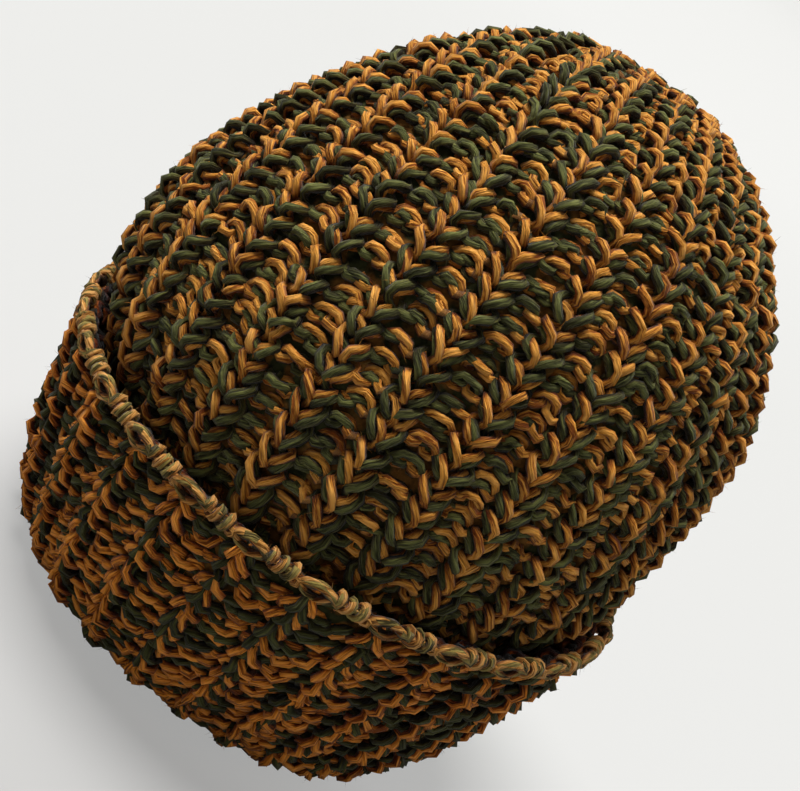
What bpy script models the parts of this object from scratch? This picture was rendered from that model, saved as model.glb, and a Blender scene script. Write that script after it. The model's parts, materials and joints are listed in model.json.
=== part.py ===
"""Chunky knitted hat in one-by-one rib, with a turned-up cuff, standing on its fold.

Run with: blender --background --python part.py
Metres, +Z up. The hat is seen in the photograph from the -Y side, so +X is to the viewer's right. The
origin is on the floor, under the middle of the hat's bounding box.

The hat is one knitted tube that is drawn in at the top and folded up at the bottom. It is modelled as the
crown, the cuff that holds the crown's foot, and the cast-on edge that runs round the top of the cuff.
"""

import math
from collections import namedtuple

import bmesh
import bpy
from mathutils import Matrix, Vector

MM = 0.001

# Knitted fabric: twenty-eight ribs of one knit and one purl stitch go round the hat
RIBS = 28
FABRIC_THICK = 4.2 * MM
RIB_DEPTH = 2.8 * MM
FULL_RIBS_FROM_RADIUS = 70 * MM
EDGE_GAP = 0.4 * MM
CROWN_TO_CUFF_GAP = 1.6 * MM  # measured at the crests, because flat faces cut across the curve between them

# One rib, from crest to groove and back: its share of the rib's width, and 1 on the crest, 0 in the groove
RibPoint = namedtuple("RibPoint", "across rise")
RIB_SHAPE = (
    RibPoint(-0.22, 1),
    RibPoint(0.22, 1),
    RibPoint(0.36, 0),
    RibPoint(0.64, 0),
)

# The crown's spine is upright inside the cuff, and bends back and a little to the right above it
SPINE_LENGTH = 205.5 * MM
LEAN_STARTS = 49 * MM
LEAN_ANGLE = math.radians(51)
LEAN_TOWARDS = math.radians(78)

# The ribs start a little to the right and swing left towards the top: angle = start + one u + two u squared
RIB_START = math.radians(3.5)
RIB_SWING_ONE = math.radians(33)
RIB_SWING_TWO = math.radians(-70)

# Crown, from its foot inside the cuff to the gathered top: distance up the spine, radius on the rib crests,
# and how far the section stands to the right of the spine
CrownSection = namedtuple("CrownSection", "up radius aside")
CROWN_SECTIONS = (
    CrownSection(8 * MM, 62.0 * MM, 0),
    CrownSection(19 * MM, 69.0 * MM, 0),
    CrownSection(35 * MM, 76.5 * MM, -1 * MM),
    CrownSection(50 * MM, 82.0 * MM, -2 * MM),
    CrownSection(65 * MM, 86.0 * MM, -4 * MM),
    CrownSection(80 * MM, 92.0 * MM, -5 * MM),
    CrownSection(102 * MM, 93.0 * MM, -5 * MM),
    CrownSection(128 * MM, 89.5 * MM, -2 * MM),
    CrownSection(154 * MM, 81.5 * MM, 0),
    CrownSection(176 * MM, 68.0 * MM, 0),
    CrownSection(191 * MM, 54.0 * MM, 0),
    CrownSection(200 * MM, 39.0 * MM, 0),
    CrownSection(204 * MM, 16.0 * MM, 0),
)
CROWN_RINGS = 16

# Cuff, from the inside of its fold to the top: height, radius on the rib crests, share of the full rib depth
CuffSection = namedtuple("CuffSection", "height radius ribs")
CUFF_SECTIONS = (
    CuffSection(0 * MM, 57.0 * MM, 0),
    CuffSection(0 * MM, 65.0 * MM, 0),
    CuffSection(3 * MM, 70.5 * MM, 0.4),
    CuffSection(10 * MM, 74.5 * MM, 1),
    CuffSection(21 * MM, 81.0 * MM, 1),
    CuffSection(37 * MM, 87.5 * MM, 1),
    CuffSection(54 * MM, 91.5 * MM, 1),
    CuffSection(71 * MM, 94.0 * MM, 1),
)
CUFF_HEIGHT = CUFF_SECTIONS[-1].height
CUFF_EDGE_RISE = 9 * MM  # the cuff is folded higher on the viewer's right, and as much lower on the left
FOLD_ASIDE = -3 * MM  # X of the fold's middle from the edge's middle: the fold stands to the viewer's left
CUFF_CLEARANCE = FABRIC_THICK + RIB_DEPTH + CROWN_TO_CUFF_GAP
BULGE_OVER_CUFF = 0.9  # metres that the crown may spread out for each metre up, above the cast-on edge

# Cast-on edge: a thin cord with a thicker wrapped bundle over each purl column of the cuff
EDGE_CORD_RADIUS = 1.3 * MM
EDGE_BUNDLE_RADIUS = 2.0 * MM
EDGE_HEIGHT = 2 * EDGE_BUNDLE_RADIUS + 2 * EDGE_GAP
EDGE_INSET = 2.4 * MM  # from the cuff's crests in to the middle of the edge
EDGE_POINTS_A_RIB = 3

# Colours are the mean of the twisted orange and dark green strands as seen on each piece
CROWN_COLOUR = (0.17, 0.10, 0.027, 1)
CUFF_COLOUR = (0.15, 0.075, 0.018, 1)
EDGE_COLOUR = (0.27, 0.15, 0.047, 1)
WOOL_ROUGHNESS = 0.9


def clear_scene():
    for old in list(bpy.data.objects):
        bpy.data.objects.remove(old, do_unlink=True)


def wool(name, colour):
    """A matt wool material of one plain colour."""
    material = bpy.data.materials.new(name)
    material.use_nodes = True
    shader = material.node_tree.nodes["Principled BSDF"]
    shader.inputs["Base Color"].default_value = colour
    shader.inputs["Roughness"].default_value = WOOL_ROUGHNESS
    shader.inputs["Metallic"].default_value = 0
    return material


def between(rows, key, value, result):
    """Straight-line reading of a table: the result column where the key column has this value."""
    for low, high in zip(rows, rows[1:]):
        start, end = getattr(low, key), getattr(high, key)
        if start <= value <= end and end > start:
            share = (value - start) / (end - start)
            return getattr(low, result) * (1 - share) + getattr(high, result) * share
    edge = rows[0] if value < getattr(rows[0], key) else rows[-1]
    return getattr(edge, result)


def smooth_value(before, start, end, after, t):
    """A smooth curve's value at share t of the way from start to end, given the values on either side."""
    slope = (end - before) / 2
    bend = (2 * before - 5 * start + 4 * end - after) / 2
    twist = (3 * start - before - 3 * end + after) / 2
    return start + slope * t + bend * t**2 + twist * t**3


def smooth_rows(rows, count):
    """The table's rows read off a smooth curve through them, at evenly spread places along it."""
    last = len(rows) - 1
    read = []
    for i in range(count):
        place = i * last / (count - 1)
        k = min(int(place), last - 1)
        four = [rows[min(max(j, 0), last)] for j in range(k - 1, k + 3)]
        read.append(type(rows[0])(*(smooth_value(*column, place - k) for column in zip(*four))))
    return read


def rib_angles():
    """Each point round the hat as its angle and its rise from the groove (0) to the crest (1)."""
    pitch = math.tau / RIBS
    return [((rib + point.across) * pitch, point.rise) for rib in range(RIBS) for point in RIB_SHAPE]


def spine_at(up):
    """The centre of the crown's section this far up the spine, and the turn that tips it."""
    bent_length = SPINE_LENGTH - LEAN_STARTS
    share = max(0.0, up - LEAN_STARTS) / bent_length
    tip = LEAN_ANGLE * share
    arc = bent_length / LEAN_ANGLE
    aside = arc * (1 - math.cos(tip))
    height = min(up, LEAN_STARTS) + arc * math.sin(tip)
    centre = Vector((aside * math.cos(LEAN_TOWARDS), aside * math.sin(LEAN_TOWARDS), height))
    towards = Matrix.Rotation(LEAN_TOWARDS, 3, "Z")
    turn = towards @ Matrix.Rotation(tip, 3, "Y") @ towards.inverted()
    return centre, turn


def rib_turn(up):
    """How far the rib columns have swung round the spine at this distance up it."""
    u = up / SPINE_LENGTH
    return RIB_START + RIB_SWING_ONE * u + RIB_SWING_TWO * u * u


def cuff_edge_height(angle):
    return CUFF_HEIGHT + CUFF_EDGE_RISE * math.cos(angle)


def cuff_centre(height):
    """The middle of the cuff at this height: over the fold it moves over to the edge's own middle."""
    return Vector((FOLD_ASIDE * max(0.0, 1 - height / CUFF_HEIGHT), 0, 0))


def held_in(point):
    """The point moved in where the cuff presses on the crown, and just above the cuff's edge."""
    middle = cuff_centre(point.z)
    out = point - middle
    angle = math.atan2(out.y, out.x)
    above_edge = max(0.0, point.z - cuff_edge_height(angle) - EDGE_HEIGHT)
    height_on_cuff = point.z * CUFF_HEIGHT / cuff_edge_height(angle)
    room = between(CUFF_SECTIONS[1:], "height", height_on_cuff, "radius") - CUFF_CLEARANCE
    room += BULGE_OVER_CUFF * above_edge
    radius = math.hypot(out.x, out.y)
    if radius > room:
        return middle + Vector((out.x * room / radius, out.y * room / radius, point.z))
    return point


def crown_ring(section):
    """One closed ring of points round the outside of the crown."""
    spine, turn = spine_at(section.up)
    centre = spine + cuff_centre(spine.z) + Vector((section.aside, 0, 0))
    groove = RIB_DEPTH * min(1.0, section.radius / FULL_RIBS_FROM_RADIUS) ** 2
    ring = []
    for angle, rise in rib_angles():
        way = angle + rib_turn(section.up) - math.pi / 2
        outward = turn @ Vector((math.cos(way), math.sin(way), 0))
        crest = held_in(centre + outward * section.radius)
        ring.append(crest - outward * groove * (1 - rise))
    return ring


def cuff_ring(section):
    """One closed ring of points round the outside of the cuff. Its crests stand over the crown's grooves."""
    groove = RIB_DEPTH * section.ribs
    half_rib = math.pi / RIBS
    ring = []
    for angle, rise in rib_angles():
        way = angle + half_rib + RIB_START - math.pi / 2
        radius = section.radius - groove * (1 - rise)
        height = section.height * cuff_edge_height(way) / CUFF_HEIGHT
        ring.append(cuff_centre(height) + Vector((radius * math.cos(way), radius * math.sin(way), height)))
    return ring


def loft(name, rings, material, pole=None):
    """A mesh object whose surface runs through the rings, closed by a fan where a pole is given."""
    shape = bmesh.new()
    loops = [[shape.verts.new(point) for point in ring] for ring in rings]
    for low, high in zip(loops, loops[1:]):
        for i in range(len(low)):
            j = (i + 1) % len(low)
            shape.faces.new((low[i], low[j], high[j], high[i]))
    if pole is not None:
        tip = shape.verts.new(pole)
        top = loops[-1]
        for i in range(len(top)):
            shape.faces.new((top[i], top[(i + 1) % len(top)], tip))
    mesh = bpy.data.meshes.new(name)
    shape.to_mesh(mesh)
    shape.free()
    mesh.materials.append(material)
    return bpy.data.objects.new(name, mesh)


def thicken(piece):
    """Gives the open surface its fabric thickness, inwards from the outside."""
    wall = piece.modifiers.new("fabric thickness", "SOLIDIFY")
    wall.thickness = FABRIC_THICK
    wall.offset = -1
    wall.use_even_offset = True
    wall.use_rim = True


def make_crown():
    rings = [crown_ring(section) for section in smooth_rows(CROWN_SECTIONS, CROWN_RINGS)]
    pole, _ = spine_at(SPINE_LENGTH)
    crown = loft("crown", rings, wool("crown knit", CROWN_COLOUR), pole)
    thicken(crown)
    return crown


def make_cuff():
    rings = [cuff_ring(section) for section in CUFF_SECTIONS]
    cuff = loft("cuff", rings, wool("cuff knit", CUFF_COLOUR))
    thicken(cuff)
    return cuff


def make_cast_on_edge():
    """A ring of cord on top of the cuff's wall, thicker at each bundle."""
    cord = bpy.data.curves.new("cast_on_edge", "CURVE")
    cord.dimensions = "3D"
    cord.bevel_depth = EDGE_CORD_RADIUS
    cord.bevel_resolution = 1
    count = RIBS * EDGE_POINTS_A_RIB
    run = cord.splines.new("POLY")
    run.points.add(count - 1)
    run.use_cyclic_u = True
    radius = CUFF_SECTIONS[-1].radius - EDGE_INSET
    for i, point in enumerate(run.points):
        way = i * math.tau / count + RIB_START - math.pi / 2
        height = cuff_edge_height(way) + EDGE_HEIGHT / 2
        point.co = (radius * math.cos(way), radius * math.sin(way), height, 1)
        on_bundle = i % EDGE_POINTS_A_RIB == 0
        point.radius = EDGE_BUNDLE_RADIUS / EDGE_CORD_RADIUS if on_bundle else 1
    cord.materials.append(wool("cast-on edge", EDGE_COLOUR))
    return bpy.data.objects.new("cast_on_edge", cord)


def centre_on_floor(pieces, measured):
    """Moves the pieces so that the origin is under the middle of the measured pieces' bounding box."""
    corners = [vertex.co for piece in measured for vertex in piece.data.vertices]
    middle_x = (min(c.x for c in corners) + max(c.x for c in corners)) / 2
    middle_y = (min(c.y for c in corners) + max(c.y for c in corners)) / 2
    for piece in pieces:
        piece.location = (-middle_x, -middle_y, 0)


def main():
    clear_scene()
    hat = bpy.data.collections.new("knit hat")
    bpy.context.scene.collection.children.link(hat)
    crown = make_crown()
    cuff = make_cuff()
    edge = make_cast_on_edge()
    pieces = (crown, cuff, edge)
    for piece in pieces:
        hat.objects.link(piece)
    centre_on_floor(pieces, (crown, cuff))


main()
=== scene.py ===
"""Looks of a chunky rib-knitted hat, stitch by stitch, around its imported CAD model.

The hat is one knitted tube. Its fabric is laid out on a sheet that runs from the cast-on edge down the
outside of the cuff, round the fold, up inside the cuff and over the crown into the gathered top. Every
course of knitting is a yarn path on that sheet, made of two strands, one mustard orange and one dark green.

Sizes of the knitting are in millimetres, and those of the yarn's settings and the studio in metres. A place
on the sheet is a column, counted in ribs round the hat, and a row, counted in courses from the cast-on edge.
"""

import json
import math

import bpy
import numpy as np
from mathutils import Matrix, Vector

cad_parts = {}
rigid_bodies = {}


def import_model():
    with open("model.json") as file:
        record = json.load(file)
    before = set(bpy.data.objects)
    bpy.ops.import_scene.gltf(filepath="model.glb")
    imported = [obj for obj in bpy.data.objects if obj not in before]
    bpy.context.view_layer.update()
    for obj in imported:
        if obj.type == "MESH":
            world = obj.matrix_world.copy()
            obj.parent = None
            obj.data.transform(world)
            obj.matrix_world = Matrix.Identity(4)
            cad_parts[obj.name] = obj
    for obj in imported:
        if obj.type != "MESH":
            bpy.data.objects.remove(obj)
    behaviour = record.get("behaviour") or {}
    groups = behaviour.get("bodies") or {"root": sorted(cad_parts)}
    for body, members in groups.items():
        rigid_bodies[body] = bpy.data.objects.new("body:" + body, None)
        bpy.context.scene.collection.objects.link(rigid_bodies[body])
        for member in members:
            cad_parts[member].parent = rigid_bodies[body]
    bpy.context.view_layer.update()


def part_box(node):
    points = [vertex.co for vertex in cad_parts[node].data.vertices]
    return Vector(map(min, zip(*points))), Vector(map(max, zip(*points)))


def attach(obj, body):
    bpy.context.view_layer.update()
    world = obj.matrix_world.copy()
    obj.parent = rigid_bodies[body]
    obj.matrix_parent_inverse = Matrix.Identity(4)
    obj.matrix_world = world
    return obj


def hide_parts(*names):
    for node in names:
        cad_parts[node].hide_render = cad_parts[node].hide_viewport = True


bl_info = {
    "name": "Rib-knitted hat",
    "version": (1, 0, 0),
    "blender": (4, 5, 0),
    "location": "3D View > Sidebar > Knit hat",
    "description": "Knits the yarn of a rib hat over its CAD model, and sets up the studio",
    "category": "Object",
}

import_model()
MM = 0.001

# The knitting, in millimetres and rows
RIBS = 28
STITCHES_ROUND = 2 * RIBS
CUFF_ROWS = 11
FOLD_ROWS = 3
HIDDEN_ROWS = 11
CROWN_STARTS = CUFF_ROWS + FOLD_ROWS  # the row where the fabric goes up inside the cuff
CROWN_SHOWS = CROWN_STARTS + HIDDEN_ROWS  # the row where it comes out over the cuff's edge
CROWN_PIECE_ROWS = (9, 19, 26)  # the crown is parted into pieces this many rows further on
CUFF_PIECE_ROW = 6
FRONT_ROW_HEIGHT = 6.4
BACK_ROW_HEIGHT = 5.1
KNIT_WIDTH = 10.8
KNIT_SHARE_LIMIT = 0.82
FABRIC_HALF = 5.2  # from the middle of the fabric out to the front of the knit stitches
FULL_THICKNESS_RADIUS = 40.0  # nearer to the gather than this, the fabric is thinner
THINNEST = 0.25
RIB_RISE = 0.6
FULL_PITCH = 15.5  # where ribs are closer than this, their stitches are smaller
SMALLEST_STITCH = 0.5
TUCK_FROM_PITCH = 9.0  # where ribs are closer than this, every second one starts to tuck in
TUCK_TO_PITCH = 5.5
TUCK_DEPTH = 5.0
TUCK_WIDEN = 0.8
ROWS_TO_END = 1.6  # courses stop this many rows before the fabric's end in the gather

# The shape of the crown's spine and the cuff, as the CAD solids have them
SPINE_LENGTH = 205.5
LEAN_STARTS = 49.0
LEAN_ANGLE = math.radians(51)
LEAN_TOWARDS = math.radians(78)
RIB_START = math.radians(3.5)
RIB_SWING_ONE = math.radians(33)
RIB_SWING_TWO = math.radians(-70)
# distance up the spine, radius on the rib crests, how far to the right of the spine
CROWN_SECTIONS = np.array(
    [
        (11, 64.0, 0),
        (19, 69.0, 0),
        (35, 76.5, -1),
        (50, 82.0, -2),
        (65, 86.0, -4),
        (80, 92.0, -5),
        (102, 93.0, -5),
        (128, 89.5, -2),
        (154, 81.5, 0),
        (176, 68.0, 0),
        (191, 54.0, 0),
        (200, 39.0, 0),
        (204.5, 20.0, 0),
        (204, 11.5, 0),
        (196, 9.0, 0),
        (186, 8.5, 0),
    ]
)
# height, radius on the rib crests
CUFF_SECTIONS = np.array(
    [(0, 65.0), (3, 70.5), (10, 74.5), (21, 81.0), (37, 87.5), (54, 91.5), (71, 94.0)]
)
CUFF_HEIGHT = 71.0
CUFF_EDGE_RISE = 9.0
FOLD_ASIDE = -3.0
FOLD_STARTS = 11.0  # height at which the cuff starts to turn under
CUFF_CLEARANCE = 9.4
BULGE_OVER_CUFF = 0.9
EDGE_HEIGHT = 4.8

# Where the yarn leaves the solids' shape, after the photograph: the cuff stands out low on the viewer's
# right, and hangs slack halfway up on the left
SPREAD_RIGHT = 2.4
SPREAD_HEIGHT = 16.0
SPREAD_REACH = 14.0
SLACK_LEFT = 2.8
SLACK_HEIGHT = 42.0
SLACK_REACH = 16.0
# The hat's weight presses the fold, for some rows from its middle: its stitches are flatter, it swells out
# over the floor, and its yarn counts as higher and as facing sideways, where it is seen from, so its painted
# shade is lighter
FOLD_MIDDLE = CUFF_ROWS + FOLD_ROWS / 2
PRESSED_ROWS = 2.0
PRESSED_FLAT = 0.55
PRESSED_HIGHER = 1.5
PRESSED_SIDEWAYS = 0.75
FOLD_SWELL = 1.6
HIDDEN_FLAT = 0.2  # stitches inside the cuff are flatter by this share

# The cast-on edge
EDGE_SIZES = {
    "core_up": 1.6,
    "core_out": 2.6,
    "wrap_radius": 1.45,
    "wrap_share": 0.25,
    "wrap_taller": 1.15,
    "wrap_varies": 0.10,
    "wrap_aside": 0.045,
    "wraps": 3,
    "wrap_points": 10,
    "loop_points": 9,
    "core_points": 8,
    "lens_half_height": 2.1,
    "lens_out": 3.4,
    "lens_bow": 0.5,
    "wrap_fill": 0.27,
    "lens_fill": 0.19,
    "fill_varies": 0.12,
    "stray": 0.12,
    "turn_stray": 0.3,
}
EDGE_PLY_TURNS = 3.0
EDGE_SPREAD = 0.9
# the cast-on's yarn all counts as high, so it gets no painted depth shade
EDGE_SHOWN = 3.0  # all of its yarn counts as this high, on the face of the fabric
EDGE_SEED = 41

# Points along the fabric's middle line, and the grid on which the sheet is kept
CUFF_POINTS = 40
FOLD_POINTS = 14
CROWN_POINTS = 260
GRID_COLUMNS = RIBS * 8
GRID_ROWS_A_COURSE = 6

# Half a knit stitch, from its left side to its middle: place across (share of half the column), place up
# (courses), height off the middle of the fabric (mm) and thickness. The other half mirrors it, and a purl
# stitch is a knit stitch seen from behind
HALF_STITCH = (
    (-1.00, 0.00, 0.00, 1.02),
    (-0.66, -0.08, -0.80, 1.10),
    (-0.32, 0.00, -0.55, 1.04),
    (-0.13, 0.20, 0.50, 0.90),
    (-0.15, 0.42, 2.30, 1.04),
    (-0.41, 0.68, 3.10, 1.34),
    (-0.69, 0.93, 2.20, 1.06),
    (-0.78, 1.12, 0.20, 0.90),
    (-0.50, 1.32, -0.90, 1.10),
    (0.00, 1.38, -1.20, 1.30),
)
STITCH_POINTS = 20
HIDDEN_STITCH_POINTS = 6
TIP_STITCH_POINTS = 13
FINE_POINTS = 400
BEND_PACE = 1.6  # mm of yarn that a radian of bend counts for when points are shared out

# How far single stitches stray: share of their width and height, mm outwards, share of half a column
# sideways, and courses up
STRAYING = {"wide": 0.05, "tall": 0.06, "lift": 0.28, "shift": 0.035, "rise": 0.05}
# Slow waves over the whole fabric: how large, seed, most turns round the hat, and radians a course
ASIDE_WAVES = ((0.05, 11, 5, 0.35), (0.02, 12, 20, 1.1))
UP_WAVE = (0.18, 13, 6, 0.3)
OUT_WAVE = (0.7, 14, 7, 0.4)
TWIST_WAVE = (0.9, 15, 9, 0.6)

# How often the two strands turn round each other in a stitch, and where the orange one starts (degrees)
CUFF_PLY = (2.5, 120.0)
CROWN_PLY = (-0.5, 95.0)
CUFF_TURN_RIGHT = math.radians(135)  # turned so far, the cuff shows more green on the viewer's right
CUFF_TURN_FROM_TO = (0.1, 0.8)  # how far to the right, from the middle at 0 to the side at 1
PLY_DRIFT = 1.1
COURSE_TURN = 0.4  # radians by which whole courses differ
PLY_BULGE = 0.2  # a strand swells where it lies over the other, and narrows under it
STRAND_WOBBLE = 0.10  # mm, how far a strand strays from its even path
LEAST_SPREAD = 0.6  # how near the two strands come to each other, and how much that varies
SPREAD_VARIES = 0.2
THICKNESS_VARIES = 0.06
TONE_THICKENS = 0.07
CAST_ON_THICKNESS = 0.72  # the first course starts thinner
YARN_STARTS = 1000.0  # mm of yarn within which each course starts
GREEN_ALONG = 37.0  # mm by which the green strand's fibres are shifted from the orange one's
# mm below the middle where yarn counts as deep in the fabric, and mm from there up to its face; deep yarn
# gets painted shade and no fuzz
KNIT_DEEP, KNIT_SPAN = 0.8, 3.6
PURL_DEEP, PURL_SPAN = 2.0, 2.75
# the back of the fabric comes up only this far in the depth mark, so the hat's inside keeps much painted
# shade
BACK_SHOWS = 0.35
GROUND_HALF = 0.4  # mm, half the thickness of the layer in the middle of the fabric
GROUND_COLUMNS_A_RIB = 4
GROUND_ROWS_A_COURSE = 1.3
LOWEST_EDGE = 0.001  # metres
LOWEST_IN_RADII = 1.5  # the lowest place for the middle of a strand, in strand radii over the floor

# Looks of the wool. Stops are places from 0 to 1 with their colours
STREAK_STRETCH = 110.0
PLIES = 3.0
PLY_TURNS_A_METRE = 60.0
FIBRE_TILT = 1.2
# in part painted highlight: the brightest fibres are paler and brighter than the strand's own colour
ORANGE_GLINT = (1.25, 1.42, 2.2)  # the brightest fibres, over the strand's own colour
GREEN_GLINT = (2.0, 2.0, 1.8)
BRIGHTEST = 0.95
TONE_REACH = 1.6  # how far the tone goes from its mean
TONE_SHARE = 0.5
STREAK_CONTRAST = 1.15
STREAK_BASE = -0.32
STREAK_BUMP = 1.4
GROOVE_WIDTH = 0.55
GROOVE_SHADE = 0.7
SMOOTHEST, ROUGHEST = 0.78, 0.98
# painted shade: yarn deep in the fabric is darkened and reddened in its colour, by its depth mark
DEPTH_PAINTED_SHADE = [
    (0.0, (0.20, 0.11, 0.06)),
    (0.35, (0.46, 0.34, 0.23)),
    (0.75, (0.9, 0.86, 0.8)),
    (1.0, (1.0, 1.0, 1.0)),
]
# painted shade: the flanks of a strand are darkened in its colour, by how far they turn from the outward
# direction
FLANK_PAINTED_SHADE = [
    (0.0, (0.12, 0.06, 0.035)),
    (0.45, (0.50, 0.35, 0.25)),
    (0.85, (0.92, 0.86, 0.8)),
    (1.0, (1.0, 1.0, 1.0)),
]
# orange, green, dark orange and dark green of the cast-on's strands, pulled thin and paler
EDGE_COLOURS = ((0.60, 0.28, 0.060), (0.20, 0.15, 0.042), (0.17, 0.065, 0.010), (0.035, 0.028, 0.008))

# The studio, in metres
FLOOR_SIDES = 64
# radius and height
FLOOR_OUTLINE = [(0.3, 0.0), (1.0, 0.0), (2.0, 0.0), (3.2, 0.12), (4.0, 0.6), (4.5, 1.6), (4.6, 3.2)]
GLOW_FROM_RADIUS = 0.050  # the floor doesn't glow under the hat
GLOW_FULL_RADIUS = 0.058
# painted shade on the floor: its glow dims from the backdrop towards the front, with these places and shades
GLOW_FRONT = -0.2
GLOW_BACK = 1.8
GLOW_PAINTED_FALLOFF = [
    (0.03, (0.24, 0.24, 0.235)),
    (0.09, (0.42, 0.42, 0.415)),
    (0.13, (0.42, 0.425, 0.415)),
    (0.5, (0.43, 0.435, 0.42)),
    (1.0, (0.48, 0.485, 0.47)),
]
KEY_ANGLE = math.radians(38)
KEY_DIRECTION = (0.30, -0.12, -1.0)
KEY_COLOUR = (1.0, 0.985, 0.96)
TARGET_HEIGHT = 0.1012
LENS = 78.09  # mm
LENS_SHIFT = (-0.021, -0.0151)

BODY = "root"
FUZZ_SEED = 60
FUZZY = {
    "crown_lower": "crown_knit",
    "crown_middle": "crown_knit",
    "crown_upper": "crown_knit",
    "crown_tip": "crown_knit",
    "cuff_upper": "cuff_knit",
    "cuff_lower": "cuff_knit",
    "cast_on_edge_yarn": "edge_yarn",
}


# The shape of the fabric


def smooth_table(table, place):
    """Rows of the table read off a smooth curve through them, at places counted in rows."""
    table = np.asarray(table, float)
    place = np.asarray(place, float)
    last = len(table) - 1
    k = np.clip(place.astype(int), 0, last - 1)
    t = (place - k)[:, None]
    a, b, c, d = (table[np.clip(k + j, 0, last)] for j in (-1, 0, 1, 2))
    return b + t * (c - a) / 2 + t**2 * (2 * a - 5 * b + 4 * c - d) / 2 + t**3 * (3 * b - a - 3 * c + d) / 2


def smoothstep(x, low, high):
    t = np.clip((x - low) / (high - low), 0, 1)
    return t * t * (3 - 2 * t)


def bell(x, middle, reach):
    """1 in the middle, falling away smoothly on both sides."""
    return np.exp(-(((x - middle) / reach) ** 2))


def unit(vectors):
    """The vectors brought to a length of one."""
    return vectors / np.maximum(np.linalg.norm(vectors, axis=-1, keepdims=True), 1e-6)


def sideways(points):
    """Level directions from the hat's axis out to the points."""
    return unit(points * np.array([1, 1, 0]))


def edge_height(way):
    """Height of the cuff's upper edge, which is folded higher on the viewer's right."""
    return CUFF_HEIGHT + CUFF_EDGE_RISE * np.cos(way)


def cuff_radius(height):
    """Radius on the cuff's rib crests at heights of its table."""
    return np.interp(height, CUFF_SECTIONS[:, 0], CUFF_SECTIONS[:, 1])


def cuff_shift(height):
    return FOLD_ASIDE * np.maximum(0.0, 1 - height / CUFF_HEIGHT)


def cuff_line(angles, count):
    """The cuff's middle line for each column, from the cast-on edge down to where the fold starts."""
    way = (angles + RIB_START - math.pi / 2)[:, None]
    table_height = np.linspace(CUFF_HEIGHT, FOLD_STARTS, count)[None, :]
    right = np.cos(way)
    spread = SPREAD_RIGHT * np.maximum(0, right) ** 2 * bell(table_height, SPREAD_HEIGHT, SPREAD_REACH)
    slack = SLACK_LEFT * np.maximum(0, -right) ** 2 * bell(table_height, SLACK_HEIGHT, SLACK_REACH)
    radius = cuff_radius(table_height) - FABRIC_HALF + spread - slack
    height = table_height * edge_height(way) / CUFF_HEIGHT
    x = radius * np.cos(way) + cuff_shift(height)
    return np.stack([x, radius * np.sin(way), height], -1)


def crown_line(angles, count):
    """The crown's middle line for each column, from the fold to the inside of the gathered top."""
    rows = smooth_table(CROWN_SECTIONS, np.linspace(0, len(CROWN_SECTIONS) - 1, count))
    up, radius, aside = (rows[:, i][None, :] for i in range(3))
    bent = SPINE_LENGTH - LEAN_STARTS
    tip = LEAN_ANGLE * np.maximum(0, up - LEAN_STARTS) / bent
    arc = bent / LEAN_ANGLE
    lean = arc * (1 - np.cos(tip))
    spine_z = np.minimum(up, LEAN_STARTS) + arc * np.sin(tip)
    spine_x = lean * math.cos(LEAN_TOWARDS) + cuff_shift(spine_z) + aside
    spine_y = lean * math.sin(LEAN_TOWARDS)
    u = up / SPINE_LENGTH
    way = angles[:, None] + RIB_START + RIB_SWING_ONE * u + RIB_SWING_TWO * u * u - math.pi / 2
    along = np.cos(way - LEAN_TOWARDS) * np.cos(tip)
    across = np.sin(way - LEAN_TOWARDS)
    out_x = math.cos(LEAN_TOWARDS) * along - math.sin(LEAN_TOWARDS) * across
    out_y = math.sin(LEAN_TOWARDS) * along + math.cos(LEAN_TOWARDS) * across
    out_z = -np.cos(way - LEAN_TOWARDS) * np.sin(tip)
    outward = np.stack([out_x, out_y, out_z], -1)
    spine = np.stack([spine_x + 0 * way, spine_y + 0 * way, spine_z + 0 * way], -1)
    crest = held_in(spine + outward * radius[..., None])
    thin = np.clip(radius / FULL_THICKNESS_RADIUS, THINNEST, 1.0)[..., None]
    return crest - outward * FABRIC_HALF * thin


def held_in(crest):
    """The crown's crests where the cuff holds them in, with the bulge just above its edge."""
    z = crest[..., 2]
    x = crest[..., 0] - cuff_shift(z)
    y = crest[..., 1]
    edge = edge_height(np.arctan2(y, x))
    above = np.maximum(0, z - edge - EDGE_HEIGHT)
    room = cuff_radius(z * CUFF_HEIGHT / edge) - CUFF_CLEARANCE + BULGE_OVER_CUFF * above
    share = np.minimum(1.0, room / np.hypot(x, y))
    return np.stack([x * share + cuff_shift(z), y * share, z], -1)


def fold_line(start, end, count):
    """Half a turn under the fold, from the cuff's last points to the crown's first."""
    turn = np.linspace(0, math.pi, count + 2)[1:-1]
    middle = (start + end) / 2
    half = (start - end) / 2
    line = middle[:, None, :] + half[:, None, :] * np.cos(turn)[None, :, None]
    depth = middle[:, 2] - FABRIC_HALF
    line[..., 2] -= depth[:, None] * np.sin(turn)[None, :]
    return line


def soften(line, reach):
    """The lines with sharp bends eased, over a few points either way."""
    weights = np.exp(-0.5 * (np.arange(-3 * reach, 3 * reach + 1) / reach) ** 2)
    weights /= weights.sum()
    padded = np.pad(line, ((0, 0), (3 * reach, 3 * reach), (0, 0)), mode="edge")
    return sum(w * padded[:, i : i + line.shape[1]] for i, w in enumerate(weights))


def fabric_line(angles):
    """The middle line of the whole fabric for each column: cuff, fold and crown."""
    cuff = cuff_line(angles, CUFF_POINTS)
    crown = crown_line(angles, CROWN_POINTS)
    fold = fold_line(cuff[:, -1], crown[:, 0], FOLD_POINTS)
    line = np.concatenate([cuff, fold, crown], 1)
    eased = slice(8, -20)
    line[:, eased] = soften(line, 2)[:, eased]
    return line


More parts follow.
